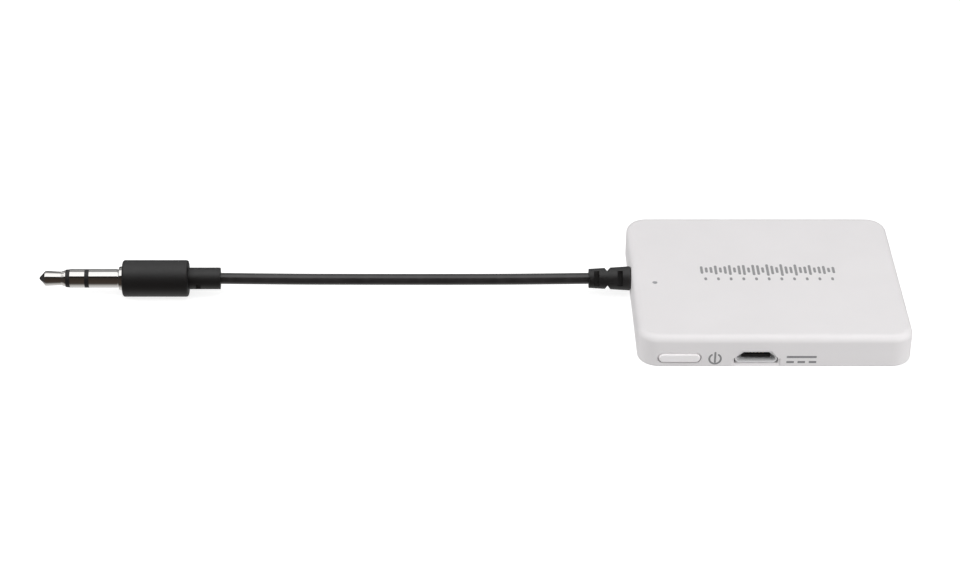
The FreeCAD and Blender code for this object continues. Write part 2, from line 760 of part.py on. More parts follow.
def make_plug_housing():
    body = plug_part(
        "plug_housing",
        [
            ("0", "2.6"),
            ("0", "housing_radius"),
            ("-housing_length", "housing_radius"),
            ("-housing_length", "neck_radius"),
            ("-housing_length - neck_length", "neck_radius"),
            ("-housing_length - neck_length", "cable_radius + 0.01"),
            ("-9.05", "cable_radius + 0.01"),
            ("-9.05", "2.6"),
        ],
    )
    ends = (level("X", "0"), level("X", "housing_length"))

    def rim(edge):
        return any(test(edge) for test in ends) and edge.BoundBox.ZMax > number("housing_radius") - 0.01

    dress(body, "Fillet", "rims", "0.45", rim)
    # one slot low on each side of the neck
    slot = rectangle("housing_length + 1.4", "housing_length + 2.3", "-2.3", "-0.1")
    cut_away(body, "front_slot", "Y", "-3", "-slot_floor", slot)
    cut_away(body, "back_slot", "Y", "slot_floor", "3", slot)
    return body


# ---- circuit board -----------------------------------------------------------------------------------

BOARD_TOP = "board_low + board_thick"


def make_main_board():
    body = new_body("main_board")
    outline = rectangle("-board_width / 2", "board_width / 2", "board_front", "board_back")
    extrude(body, "board", "Z", "board_low", BOARD_TOP, outline)
    front = level("Y", "board_front")
    dress(body, "Fillet", "front_corners", "board_corner", lambda edge: upright(edge) and front(edge))
    holes = [("circle", f"{side}pin_x", "pin_y", "pin_radius + 0.1") for side in ("", "-")]
    cut_away(body, "pin_holes", "Z", "board_low - 1", f"{BOARD_TOP} + 1", *holes)
    return body


def chip(name, x, y, width, depth, height, legs=0, below=False):
    """A chip on the board, with a row of legs along its front and back edges."""
    body = new_body(name, x=x, y=y, z="board_low" if below else BOARD_TOP)
    low, high = (f"-({height})", "-0.05") if below else ("0.05", height)
    case = rectangle(f"-({width}) / 2", f"({width}) / 2", f"-({depth}) / 2", f"({depth}) / 2")
    extrude(body, "case", "Z", low, high, case)
    if legs:
        pitch = number(width) / legs
        feet = []
        for i in range(legs):
            x_foot = (i - (legs - 1) / 2) * pitch
            for side in (-1, 1):
                y_foot = side * (number(depth) / 2 + 0.25)
                feet.append(
                    rectangle(
                        f"{x_foot - pitch * 0.22:.4f}",
                        f"{x_foot + pitch * 0.22:.4f}",
                        f"{y_foot - 0.45:.4f}",
                        f"{y_foot + 0.45:.4f}",
                    )
                )
        ends = ("-0.35", "0") if below else ("0", "0.35")
        extrude(body, "legs", "Z", *ends, *feet)
    return body


def parts_on_board(name, places, width, depth, height, below=False):
    """Equal small parts on the board, one solid each, as one group."""
    z = f"board_low - ({height})" if below else BOARD_TOP
    boxes = [block(f"{name}_{i}", x, y, z, width, depth, height) for i, (x, y) in enumerate(places)]
    return group(name, boxes)


def make_components():
    chip("bluetooth_chip", "4.5", "-9.8", "6.5", "6.5", "0.9", legs=8)
    chip("flash_memory", "4.5", "-16.4", "4.9", "3.6", "1.2", legs=4)
    chip("audio_codec", "-7.5", "-8.4", "4.2", "4.2", "0.8", legs=6)
    chip("charger_chip", "7.5", "-15.2", "2.9", "1.5", "1.1", legs=3, below=True)
    chip("voltage_regulator", "7.5", "-10.4", "2.9", "1.5", "1.1", legs=2, below=True)
    chip("crystal", "11.4", "-9.8", "3.2", "2.5", "0.8")
    chip("chip_antenna", "17.5", "-17.2", "7.0", "2.0", "1.0")
    chip("power_inductor", "-1.8", "-4.6", "3.0", "3.0", "1.2")
    chip("status_led", "light_x", "light_y", "1.6", "0.8", "0.6")
    audio = [("-13.4", "-7.0"), ("-13.4", "-10.0")]
    parts_on_board("output_capacitors", audio, "3.2", "1.6", "1.2")
    ceramic = [(str(x), str(y)) for x in (-4.6, -1.6, 14.6) for y in (-14.8, -13.2, -11.6, -10.0)]
    parts_on_board("ceramic_capacitors", ceramic, "1.0", "0.5", "0.5")
    resistors = [(str(x), "-5.0") for x in (2.6, 4.2, 5.8, 7.4, 9.0)]
    resistors += [(str(x), "-16.8") for x in (-14.0, -12.4, -10.8, -9.2, -7.6)]
    parts_on_board("chip_resistors", resistors, "1.0", "0.5", "0.35")


# ---- charging socket ---------------------------------------------------------------------------------


def socket_outline(margin):
    """The trapezium of a micro-USB B socket, wide side down, grown by a margin."""
    rise = (
        ("3.3", "0"),
        ("3.75", "0.45"),
        ("3.75", "1.2"),
        ("2.55", "2.45"),
    )
    grow = {"0": f"- ({margin})", "2.45": f"+ ({margin})"}
    heights = [f"port_low + {z} {grow.get(z, '')}" for _, z in rise]
    right = [(f"port_x + {x} + ({margin})", z) for (x, _), z in zip(rise, heights)]
    left = [(f"port_x - {x} - ({margin})", z) for (x, _), z in zip(rise, heights)]
    return ("polygon", right + left[::-1])


def make_socket():
    shell = new_body("usb_shell")
    extrude(shell, "shell", "Y", "port_mouth", "port_back", socket_outline("0"))
    extrude(shell, "lip", "Y", "port_mouth", "port_mouth + 0.25", socket_outline("0.05"))
    cut_away(shell, "mouth", "Y", "port_mouth - 1", "port_back + 1", socket_outline("-port_sheet"))
    tongue = new_body("usb_tongue")
    extrude(tongue, "block", "Y", "port_back - 1.3", "port_back - 0.1", socket_outline("-0.3"))
    top = "port_low + tongue_low + tongue_thick"
    blade = rectangle("port_x - 2.6", "port_x + 2.6", "port_low + tongue_low", top)
    extrude(tongue, "blade", "Y", "port_mouth + tongue_front", "port_back - 1.2", blade)
    channel = rectangle("port_x - 1.6", "port_x + 1.6", f"{top} - 0.1", f"{top} + 0.06")
    cut_away(tongue, "channel", "Y", "port_mouth + contact_front - 0.1", "port_back", channel)
    strips = []
    for i in range(5):
        x = f"port_x + {i - 2} * contact_pitch"
        y = "(port_mouth + contact_front + port_back - 0.1) / 2"
        depth = "port_back - port_mouth - contact_front - 0.1"
        strip = block(f"contact_{i}", x, y, f"{top} - 0.09", "contact_width", depth, "0.09 + contact_proud")
        strips.append(strip)
    group("usb_contacts", strips)


# ---- switch behind the button ------------------------------------------------------------------------


def make_switch():
    front = "switch_front + 1.0"
    back = "switch_front + 3.0"
    base = new_body("switch_base")
    low = "switch_z - 0.75"
    case = rectangle("button_x - 2.25", "button_x + 2.25", low, "board_low")
    extrude(base, "case", "Y", front, back, case)
    room = rectangle("button_x - 1.6", "button_x + 1.6", "switch_z - 0.55", "switch_z + 0.55")
    cut_away(base, "room", "Y", f"{front} - 1", f"{front} + 1.2", room)
    plate = new_body("switch_cover")
    outline = rectangle("button_x - 2.25", "button_x + 2.25", low, "board_low")
    extrude(plate, "plate", "Y", f"{front} - 0.2", front, outline)
    window = rectangle("button_x - 0.95", "button_x + 0.95", "switch_z - 0.42", "switch_z + 0.42")
    cut_away(plate, "window", "Y", f"{front} - 1", f"{front} + 1", window)
    for name, inner, outer in (("left_ear", "-2.25", "-2.4"), ("right_ear", "2.25", "2.4")):
        ends = (f"button_x + ({inner})", f"button_x + ({outer})")
        left, right = ends if name == "right_ear" else ends[::-1]
        extrude(plate, name, "Y", f"{front} - 0.2", f"{front} + 1.2", rectangle(left, right, low, "board_low"))
    plunger = new_body("switch_plunger")
    nose = rectangle("button_x - 0.85", "button_x + 0.85", "switch_z - 0.35", "switch_z + 0.35")
    extrude(plunger, "nose", "Y", "switch_front + 0.02", f"{front} + 0.1", nose)
    foot = rectangle("button_x - 1.3", "button_x + 1.3", "switch_z - 0.5", "switch_z + 0.5")
    extrude(plunger, "foot", "Y", f"{front} + 0.03", f"{front} + 0.3", foot)
    make_switch_dome()


def make_switch_dome():
    """The springy metal strip that clicks: a shallow arch from side to side, crown to the front."""
    body = new_body("switch_dome")
    crown = number("switch_front") + 1.0 + 0.32
    floor = number("switch_front") + 1.0 + 1.2
    rim = floor - 0.02
    half = 1.5
    thick = 0.08
    middle = number("button_x")
    sketch = new_sketch(body, "arch_sketch", "Z", "switch_z - 0.45", [])
    arches = []
    for offset in (0.0, thick):
        rise = rim - crown - thick
        radius = (half**2 + rise**2) / (2 * rise)
        place = [
            Vector(middle - half, rim - thick + offset, 0),
            Vector(middle, crown + offset, 0),
            Vector(middle + half, rim - thick + offset, 0),
        ]
        arches.append(place)
        if radius <= half:
            raise RuntimeError("the dome is deeper than half a circle")
    outer, inner = arches
    sketch.addGeometry(Part.Arc(*outer))
    sketch.addGeometry(Part.LineSegment(outer[2], inner[2]))
    sketch.addGeometry(Part.Arc(*inner))
    sketch.addGeometry(Part.LineSegment(inner[0], outer[0]))
    feature = body.newObject("PartDesign::Pad", "arch")
    feature.Profile = (sketch, [""])
    feature.Length = 0.9
    doc.recompute()
    return body


# ---- battery and wires -------------------------------------------------------------------------------

CELL_MIDDLE_Y = "(cell_front + cell_back) / 2"


def make_battery():
    cell = new_body("battery_cell")
    plan = rectangle("cell_left", "cell_right", "cell_front", "cell_back")
    extrude(cell, "pouch", "Z", "cell_low", "cell_low + cell_thick", plan)
    sides = (level("Y", "cell_front"), level("Y", "cell_back"))
    dress(cell, "Fillet", "pouch_sides", "1.2", lambda edge: any(side(edge) for side in sides) and not upright(edge))
    depth = "cell_back - cell_front - 2"
    board = block("battery_board", "cell_left - 1.5", CELL_MIDDLE_Y, "cell_low + 1.4", "2.9", depth, "0.9")
    node(board, "battery_board")
    tape_x = "(cell_left + cell_right) / 2 - 12"
    tape = block("battery_tape", tape_x, CELL_MIDDLE_Y, "cell_low + cell_thick", "7", f"{depth} - 0.6", "0.08")
    node(tape, "battery_tape")
    pad_x = "(cell_left + cell_right) / 2"
    pad = block("battery_pad", pad_x, CELL_MIDDLE_Y, "cover_thick", "28", "12", "cell_low - cover_thick")
    node(pad, "battery_pad")


# where each wire is soldered on the back edge of the board, left to right
PAD_Y = -2.6
AUDIO_WIRE_RADIUS = 0.25
BATTERY_WIRE_RADIUS = 0.3
AUDIO_PADS = {"audio_wire_left": -18.4, "audio_wire_ground": -17.2, "audio_wire_right": -16.0}
BATTERY_PADS = {"battery_wire_black": -13.6, "battery_wire_red": -12.2}


def make_wires():
    pad_top = number(BOARD_TOP) + 0.35
    axis_y = number("lead_y")
    axis_z = number("lead_z")
    start_x = number("tail_end")
    for (name, pad_x), (aside, above) in zip(AUDIO_PADS.items(), ((-0.5, -0.3), (0.0, 0.5), (0.5, -0.3))):
        route = (
            (start_x, axis_y + aside, axis_z + above),
            (start_x + 1.4, axis_y + aside, axis_z + above),
            (pad_x - 0.3, axis_y - 1.4 + aside, axis_z + 0.9 + above),
            (pad_x, PAD_Y + 1.8, pad_top + 0.6),
            (pad_x, PAD_Y, pad_top),
        )
        tube(name, route, AUDIO_WIRE_RADIUS)
    cell_front = number("cell_front")
    board_z = number("cell_low") + 2.3
    for name, pad_x in BATTERY_PADS.items():
        route = (
            (pad_x - 1.4, cell_front + 1.6, board_z + 0.3),
            (pad_x - 1.2, cell_front + 0.2, board_z + 0.9),
            (pad_x, PAD_Y + 1.6, pad_top + 0.5),
            (pad_x, PAD_Y, pad_top),
        )
        tube(name, route, BATTERY_WIRE_RADIUS)
    joints = []
    for name, pad_x in {**AUDIO_PADS, **BATTERY_PADS}.items():
        joint = doc.addObject("Part::Cone", f"joint_{name}")
        bind(joint, Radius1="0.5", Radius2="0.3", Height="0.35", Placement__Base__z=BOARD_TOP)
        bind(joint, Placement__Base__x=str(pad_x), Placement__Base__y=str(PAD_Y))
        joints.append(joint)
    group("solder_joints", joints)


# ---- whole -------------------------------------------------------------------------------------------


def check():
    doc.recompute()
    for thing in doc.Objects:
        if {"Invalid", "Error"} & set(thing.State):
            raise RuntimeError(f"{thing.Name} is {thing.State}")
    for piece in NODES:
        shape = piece.Shape
        if shape.isNull() or not shape.isValid() or not shape.Solids:
            raise RuntimeError(f"{piece.Label} has no valid shape")


def write():
    os.makedirs("parts", exist_ok=True)
    for piece in NODES:
        piece.Shape.exportStep(f"parts/{piece.Label}.step")
        print(f"{piece.Label}: {len(piece.Shape.Solids)} solids, {piece.Shape.Volume:.2f} mm3")


make_upper_housing()
make_lower_cover()
make_power_button()
make_light_pipe()
make_strain_relief()
make_lead()
make_plug()
make_main_board()
make_components()
make_socket()
make_switch()
make_battery()
make_wires()
check()
write()
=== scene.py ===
"""Looks for the bluetooth audio receiver: materials, the lead, the printed marks, floor, light and camera.

Metres, in the frame of the CAD model: +Z up, the front face looks along -Y, the lead leaves along -X.
"""
import json
import math

import bmesh
import bpy
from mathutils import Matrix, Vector


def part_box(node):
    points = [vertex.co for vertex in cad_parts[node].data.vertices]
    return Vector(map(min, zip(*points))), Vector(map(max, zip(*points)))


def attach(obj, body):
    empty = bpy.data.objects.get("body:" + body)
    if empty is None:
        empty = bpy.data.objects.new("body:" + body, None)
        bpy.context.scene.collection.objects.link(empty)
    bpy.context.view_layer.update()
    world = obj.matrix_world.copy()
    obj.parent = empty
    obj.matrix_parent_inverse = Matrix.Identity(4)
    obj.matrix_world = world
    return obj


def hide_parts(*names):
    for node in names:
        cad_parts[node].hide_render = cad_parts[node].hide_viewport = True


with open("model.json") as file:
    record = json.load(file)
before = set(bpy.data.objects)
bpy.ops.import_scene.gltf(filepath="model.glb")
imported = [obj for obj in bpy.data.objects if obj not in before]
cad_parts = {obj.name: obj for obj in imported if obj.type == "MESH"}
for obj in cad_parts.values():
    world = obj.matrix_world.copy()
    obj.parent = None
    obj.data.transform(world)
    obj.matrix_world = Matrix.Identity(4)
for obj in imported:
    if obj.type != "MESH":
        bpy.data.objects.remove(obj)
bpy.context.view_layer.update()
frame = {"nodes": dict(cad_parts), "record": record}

MM = 0.001
BODY = "receiver"
HOUSING_LOW, HOUSING_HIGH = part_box("upper_housing")
NO_STRETCH = (1, 1, 1)


# ---- camera ------------------------------------------------------------------------------------------

CAMERA_PLACE = (-64.3 * MM, -442 * MM, 284.45 * MM)
CAMERA_DOWN = math.radians(32.5)
CAMERA_LENS = 105.0  # focal length, in millimetres
CAMERA_SHIFT = 0.0615  # sideways, as a share of the picture's width


def make_display():
    """Plain display colours, so that white plastic under studio light comes out white."""
    bpy.context.scene.view_settings.view_transform = "Standard"


def make_camera():
    camera = bpy.data.cameras.new("camera")
    camera.lens = CAMERA_LENS
    camera.shift_x = CAMERA_SHIFT
    camera.clip_start = 0.01
    camera.clip_end = 20
    holder = bpy.data.objects.new("camera", camera)
    holder.location = CAMERA_PLACE
    holder.rotation_euler = (math.pi / 2 - CAMERA_DOWN, 0, 0)
    bpy.context.scene.collection.objects.link(holder)
    bpy.context.scene.camera = holder


# ---- materials ---------------------------------------------------------------------------------------


def ramp_node(nodes, stops):
    """A new colour ramp with (place, colour) stops."""
    node = nodes.new("ShaderNodeValToRGB")
    elements = node.color_ramp.elements
    while len(elements) < len(stops):
        elements.new(1.0)
    for element, (place, colour) in zip(elements, stops):
        element.position = place
        element.color = (*colour, 1)
    return node


class Shade:
    """One procedural material: a Principled shader and the nodes that feed it."""

    def __init__(self, name, **settings):
        self.material = bpy.data.materials.new(name)
        self.material.use_nodes = True
        self.nodes = self.material.node_tree.nodes
        self.links = self.material.node_tree.links
        self.shader = self.nodes["Principled BSDF"]
        for key, value in settings.items():
            self.shader.inputs[key.replace("_", " ")].default_value = value
        self.place = None

    def add(self, kind, **inputs):
        node = self.nodes.new(kind)
        for key, value in inputs.items():
            node.inputs[key.replace("_", " ")].default_value = value
        return node

    def link(self, source, target):
        self.links.new(source, target)

    def position(self, scale=NO_STRETCH):
        """The place on the object, in metres, stretched by a scale."""
        if self.place is None:
            self.place = self.nodes.new("ShaderNodeTexCoord").outputs["Object"]
        mapping = self.add("ShaderNodeMapping", Scale=scale)
        self.link(self.place, mapping.inputs["Vector"])
        return mapping.outputs["Vector"]

    def noise(self, size, detail=2.0, roughness=0.5, stretch=NO_STRETCH):
        """Noise whose features are about size metres across."""
        node = self.add("ShaderNodeTexNoise", Scale=1 / size, Detail=detail, Roughness=roughness)
        self.link(self.position(stretch), node.inputs["Vector"])
        return node.outputs["Fac"]

    def ramp(self, factor, *stops):
        """A colour that follows a factor through (place, colour) stops."""
        node = ramp_node(self.nodes, stops)
        self.link(factor, node.inputs["Fac"])
        return node.outputs["Color"]

    def between(self, factor, low, high):
        """A number that goes from low to high with a factor."""
        node = self.add("ShaderNodeMapRange", To_Min=low, To_Max=high)
        self.link(factor, node.inputs["Value"])
        return node.outputs["Result"]

    def colour(self, source):
        self.link(source, self.shader.inputs["Base Color"])

    def rough(self, factor, low, high):
        self.link(self.between(factor, low, high), self.shader.inputs["Roughness"])

    def bump(self, height, depth, strength=1.0):
        """Adds a bump, of a depth in metres, on top of any bump before it."""
        node = self.add("ShaderNodeBump", Strength=strength, Distance=depth)
        self.link(height, node.inputs["Height"])
        normal = self.shader.inputs["Normal"]
        if normal.is_linked:
            self.link(normal.links[0].from_socket, node.inputs["Normal"])
        self.link(node.outputs["Normal"], normal)


def tint(colour, factor):
    """A colour made lighter or darker by a factor."""
    return tuple(min(1.0, channel * factor) for channel in colour)


def moulded_plastic(name, colour, rough=(0.4, 0.52), grain=0.14 * MM, spread=0.012, index=1.5):
    """Moulded plastic with a fine spark-eroded grain, faint flow marks and a slightly uneven surface."""
    shade = Shade(name, IOR=index)
    flow = shade.noise(9 * MM, 3)
    shade.colour(shade.ramp(flow, (0.3, tint(colour, 1 - spread)), (0.7, tint(colour, 1 + spread))))
    shade.rough(shade.noise(0.8 * MM, 4), *rough)
    shade.bump(shade.noise(grain, 3), 0.004 * MM)
    shade.bump(shade.noise(14 * MM, 1), 0.012 * MM)
    return shade.material


def metal(name, colour, rough, stretch=NO_STRETCH, size=0.1 * MM, depth=0.0015 * MM, metallic=1.0):
    """Metal with fine lines drawn out along the axes that stretch makes small."""
    shade = Shade(name, Metallic=metallic)
    lines = shade.noise(size, 3, 0.6, stretch)
    shade.colour(shade.ramp(lines, (0.3, tint(colour, 0.93)), (0.7, colour)))
    shade.rough(shade.noise(0.6 * MM, 3), *rough)
    shade.bump(lines, depth)
    return shade.material


def cable_jacket():
    """Smooth black vinyl, drawn out along the lead, with a satin sheen."""
    shade = Shade("cable_jacket", Coat_Weight=0.6, Coat_Roughness=0.2)
    colour = (0.024, 0.0222, 0.0228)
    along = shade.noise(0.25 * MM, 3, 0.6, (0.03, 1, 1))
    shade.colour(shade.ramp(shade.noise(2 * MM, 4), (0.3, tint(colour, 0.8)), (0.7, tint(colour, 1.25))))
    shade.rough(along, 0.26, 0.38)
    shade.bump(along, 0.004 * MM)
    return shade.material


def circuit_board():
    """Green solder mask over copper tracks, which show as a raised grid of lines."""
    shade = Shade("circuit_board", Coat_Weight=0.4)
    bricks = shade.add(
        "ShaderNodeTexBrick",
        Scale=1.0,
        Mortar_Size=0.09 * MM,
        Brick_Width=2.3 * MM,
        Row_Height=0.7 * MM,
        Color1=(0, 0, 0, 1),
        Color2=(0.25, 0.25, 0.25, 1),
        Mortar=(1, 1, 1, 1),
    )
    shade.link(shade.position(), bricks.inputs["Vector"])
    tracks = bricks.outputs["Color"]
    bare_board = (0.008, 0.085, 0.03)
    plain_mask = (0.01, 0.1, 0.036)
    mask_on_track = (0.03, 0.22, 0.08)
    shade.colour(shade.ramp(tracks, (0.0, bare_board), (0.3, plain_mask), (1.0, mask_on_track)))
    shade.rough(shade.noise(0.5 * MM, 3), 0.25, 0.4)
    shade.bump(tracks, 0.02 * MM)
    return shade.material


def chip_top(name, colour):
    """Moulded epoxy with a sandy surface."""
    shade = Shade(name)
    shade.colour(shade.ramp(shade.noise(0.06 * MM, 2), (0.3, tint(colour, 0.7)), (0.7, tint(colour, 1.5))))
    shade.rough(shade.noise(0.4 * MM, 3), 0.5, 0.7)
    shade.bump(shade.noise(0.08 * MM, 3), 0.006 * MM)
    return shade.material


def battery_foil():
    """Crinkled pouch foil."""
    shade = Shade("battery_foil", Metallic=0.9)
    creases = shade.noise(3 * MM, 5, 0.65)
    shade.colour(shade.ramp(creases, (0.25, (0.5, 0.51, 0.53)), (0.75, (0.72, 0.73, 0.75))))
    shade.rough(shade.noise(0.5 * MM, 3), 0.28, 0.42)
    shade.bump(creases, 0.12 * MM, 0.6)
    return shade.material


def light_pipe():
    """Milky clear plastic."""
    shade = Shade("light_pipe", Transmission_Weight=0.45, IOR=1.49)
    grain = shade.noise(0.12 * MM, 3)
    shade.colour(shade.ramp(grain, (0.3, (0.62, 0.63, 0.65)), (0.7, (0.72, 0.73, 0.75))))
    shade.rough(grain, 0.35, 0.5)
    shade.bump(grain, 0.004 * MM)
    return shade.material


def printed_ink(name, colour):
    """Pad-printed ink: thin, a little uneven and more matt than the plastic under it."""
    shade = Shade(name)
    patches = shade.noise(0.35 * MM, 4, 0.6)
    shade.colour(shade.ramp(patches, (0.25, tint(colour, 1.12)), (0.75, tint(colour, 0.92))))
    shade.rough(patches, 0.45, 0.6)
    shade.bump(shade.noise(0.1 * MM, 2), 0.002 * MM)
    return shade.material


def make_materials():
    """Every material, by the name of its slot in the record."""
    white = (0.842, 0.821, 0.828)
    black = (0.0062, 0.0057, 0.006)
    black_moulding = (0.012, 0.0115, 0.012)
    steel = (0.93, 0.93, 0.94)
    return {
        "white_casing": moulded_plastic("white_casing", white),
        # The button is the casing's white made 14 % lighter: painted light, standing in for the extra light
        # its proud cap catches.
        "white_button": moulded_plastic("white_button", tint(white, 1.14), (0.4, 0.5), 0.1 * MM),
        "black_rubber": moulded_plastic("black_rubber", black, (0.5, 0.62), 0.1 * MM, spread=0.12, index=1.7),
        "black_cable": cable_jacket(),
        "nickel": metal("nickel", (0.84, 0.82, 0.8), (0.05, 0.12), (1, 0.05, 0.05), 0.05 * MM, 0.0005 * MM),
        "black_insulator": moulded_plastic("black_insulator", black_moulding, (0.45, 0.55), spread=0.1),
        "natural_mould": moulded_plastic("natural_mould", (0.62, 0.6, 0.52)),
        "brass_terminal": metal("brass_terminal", (0.72, 0.55, 0.3), (0.25, 0.38)),
        "copper_wire": metal("copper_wire", (0.72, 0.38, 0.2), (0.3, 0.4)),
        "circuit_board": circuit_board(),
        "chip_black": chip_top("chip_black", (0.022, 0.022, 0.024)),
        "ferrite": chip_top("ferrite", (0.06, 0.06, 0.065)),
        "tin_can": metal("tin_can", (0.68, 0.68, 0.69), (0.2, 0.32), (0.1, 1, 1)),
        "ceramic_white": moulded_plastic("ceramic_white", (0.78, 0.78, 0.75), (0.2, 0.3)),
        "ceramic_tan": chip_top("ceramic_tan", (0.5, 0.37, 0.24)),
        "tantalum": moulded_plastic("tantalum", (0.7, 0.42, 0.08), (0.35, 0.45)),
        "socket_steel": metal("socket_steel", steel, (0.35, 0.5), (1, 0.08, 1), 0.08 * MM, metallic=0.2),
        "gold_contact": metal("gold_contact", (0.83, 0.62, 0.28), (0.18, 0.3)),
        "battery_foil": battery_foil(),
        "amber_tape": moulded_plastic("amber_tape", (0.62, 0.3, 0.04), (0.15, 0.25)),
        "foam_tape": chip_top("foam_tape", (0.06, 0.06, 0.06)),
        "wire_white": moulded_plastic("wire_white", (0.75, 0.75, 0.74), (0.3, 0.4)),
        "wire_red": moulded_plastic("wire_red", (0.5, 0.02, 0.02), (0.3, 0.4)),
        "wire_black": moulded_plastic("wire_black", (0.02, 0.02, 0.02), (0.3, 0.4)),
        "solder": metal("solder", (0.75, 0.75, 0.76), (0.15, 0.3), size=0.3 * MM, depth=0.01 * MM),
        "light_pipe": light_pipe(),
    }


def paint_frame(materials):
    """Gives each CAD node the material that its slot in the record names."""
    for part in frame["record"]["subparts"]:
        node = frame["nodes"][part["node"]]
        node.data.materials.clear()
        node.data.materials.append(materials[part["material_slot"]])


# ---- lead --------------------------------------------------------------------------------------------

LEAD_DIAMETER = 2.1 * MM

# The free lead, in millimetres, from the strain relief to the neck of the plug: nearly straight.
LEAD_ROUTE = (
    (-32.75, 3.5, 3.45),
    (-44.1, 3.5, 3.27),
    (-58.2, 3.52, 3.2),
    (-75.2, 3.54, 3.2),
    (-90.2, 3.5, 3.27),
    (-102.0, 3.5, 3.45),
)


def make_lead(materials):
    """The free lead, in place of the plain tube of the CAD model."""
    curve = bpy.data.curves.new("audio_lead", "CURVE")
    curve.dimensions = "3D"
    curve.resolution_u = 24
    curve.bevel_depth = LEAD_DIAMETER / 2
    curve.bevel_resolution = 10
    curve.use_fill_caps = True
    spline = curve.splines.new("NURBS")
    spline.points.add(len(LEAD_ROUTE) - 1)
    for point, place in zip(spline.points, LEAD_ROUTE):
        point.co = (*(value * MM for value in place), 1)
    spline.order_u = 3
    spline.use_endpoint_u = True
    lead = bpy.data.objects.new("audio_lead", curve)
    bpy.context.scene.collection.objects.link(lead)
    curve.materials.append(materials["black_cable"])
    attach(lead, BODY)
    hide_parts("audio_cable")


# ---- printed marks -----------------------------------------------------------------------------------

INK_OVER = 0.012 * MM
INK_UNDER = 0.01 * MM
ARC_STEP = math.radians(6)
ROUND_END_STEPS = [math.radians(degrees) for degrees in (0, 20, 40, 60, 80)]


def arc(centre, radius, start, stop):
    """Points along an arc, in a plane, from one angle to another."""
    steps = max(2, math.ceil(abs(stop - start) / ARC_STEP))
    angles = [start + (stop - start) * i / steps for i in range(steps + 1)]
    return [(centre[0] + radius * math.cos(a), centre[1] + radius * math.sin(a)) for a in angles]


def stroke(line, width, round_ends=True):
    """The two edges of a stroke along a line of points, as pairs of points that face each other."""
    pairs = []
    for i, (x, y) in enumerate(line):
        before = line[max(i - 1, 0)]
        after = line[min(i + 1, len(line) - 1)]
        along = Vector((after[0] - before[0], after[1] - before[1])).normalized()
        across = Vector((-along.y, along.x)) * width / 2
        pairs.append(((x + across.x, y + across.y), (x - across.x, y - across.y)))
    if round_ends:
        pairs = cap(line[0], line[1], width)[::-1] + pairs[1:-1] + cap(line[-1], line[-2], width, flip=True)
    return pairs


def cap(end, inside, width, flip=False):
    """The pairs that round off one end of a stroke, from its widest to its tip."""
    out = Vector((end[0] - inside[0], end[1] - inside[1])).normalized()
    across = Vector((-out.y, out.x)) * width / 2
    if not flip:
        across = -across
    pairs = []
    for angle in ROUND_END_STEPS:
        middle = Vector(end) + out * (width / 2) * (math.sin(angle) - 1)
        side = across * math.cos(angle)
        pairs.append((tuple(middle + side), tuple(middle - side)))
    return pairs


def ink(name, strokes, surface, material):
    """Thin closed strips of ink on a surface: surface(x, y, height) gives a point that far above it."""
    mesh = bmesh.new()
    for pairs in strokes:
        rows = []
        for left, right in pairs:
            rows.append(
                [
                    mesh.verts.new(surface(*left, INK_OVER)),
                    mesh.verts.new(surface(*right, INK_OVER)),
                    mesh.verts.new(surface(*right, -INK_UNDER)),
                    mesh.verts.new(surface(*left, -INK_UNDER)),
                ]
            )
        for row, after in zip(rows, rows[1:]):
            for i in range(4):
                j = (i + 1) % 4
                mesh.faces.new((row[i], row[j], after[j], after[i]))
        mesh.faces.new(rows[0][::-1])
        mesh.faces.new(rows[-1])
    bmesh.ops.recalc_face_normals(mesh, faces=mesh.faces)
    data = bpy.data.meshes.new(name)
    mesh.to_mesh(data)
    mesh.free()
    data.materials.append(material)
    piece = bpy.data.objects.new(name, data)
    bpy.context.scene.collection.objects.link(piece)
    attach(piece, BODY)


def on_front(x, z, height):
    """A point over the front face of the housing."""
    return (x, HOUSING_LOW.y - height, z)


def on_top(x, y, height):
    """A point over the top of the housing."""
    return (x, y, HOUSING_HIGH.z + height)


def make_marks():
    """The three printed marks, none of which is lettering."""
    grey = printed_ink("grey_ink", (0.27, 0.27, 0.275))
    light_grey = printed_ink("light_grey_ink", (0.31, 0.31, 0.315))
    make_power_mark(grey)
    make_direct_current_mark(grey)
    make_sound_mark(light_grey)


def make_power_mark(material):
    """The standard on/off sign: an open ring with a bar in its gap."""
    middle = (-11.06 * MM, 1.75 * MM)
    radius = 1.05 * MM
    width = 0.34 * MM
    half_gap = math.radians(27)
    bar_foot = -0.85 * MM
    bar_top = 1.5 * MM
    top = math.pi / 2
    ring = arc(middle, radius, top + half_gap, top + 2 * math.pi - half_gap)
    bar = [(middle[0], middle[1] + end) for end in (bar_foot, bar_top)]
    ink("power_mark", [stroke(ring, width), stroke(bar, width)], on_front, material)


def make_direct_current_mark(material):
    """The direct current sign: a solid line over three dashes."""
    left = 1.9 * MM
    right = 7.3 * MM
    width = 0.44 * MM
    line = 2.15 * MM
    dashes = 1.05 * MM
    dash = (right - left) / 4  # three dashes and two gaps, each half a dash, make four
    strokes = [stroke([(left, line), (right, line)], width, round_ends=False)]
    for i in range(3):
        start = left + i * 1.5 * dash
        strokes.append(stroke([(start, dashes), (start + dash, dashes)], width, round_ends=False))
    ink("direct_current_mark", strokes, on_front, material)


BAR_COUNT = 29
BAR_PITCH = 0.88 * MM
BAR_LOWEST = 1.2 * MM
BAR_RISE = 3.0 * MM  # the tallest bar is this much taller than the lowest could be
SWELL = 2.2  # how far the swell runs along the whole row, in radians
FLUTTER = 2.2  # how far the flutter runs from one bar to the next, in radians
FLUTTER_SHARE = 0.4
TICK_COUNT = 11
TICK_PITCH = 2.36 * MM
TICK_HEIGHT = 1.0 * MM
SOUND_STROKE = 0.5 * MM


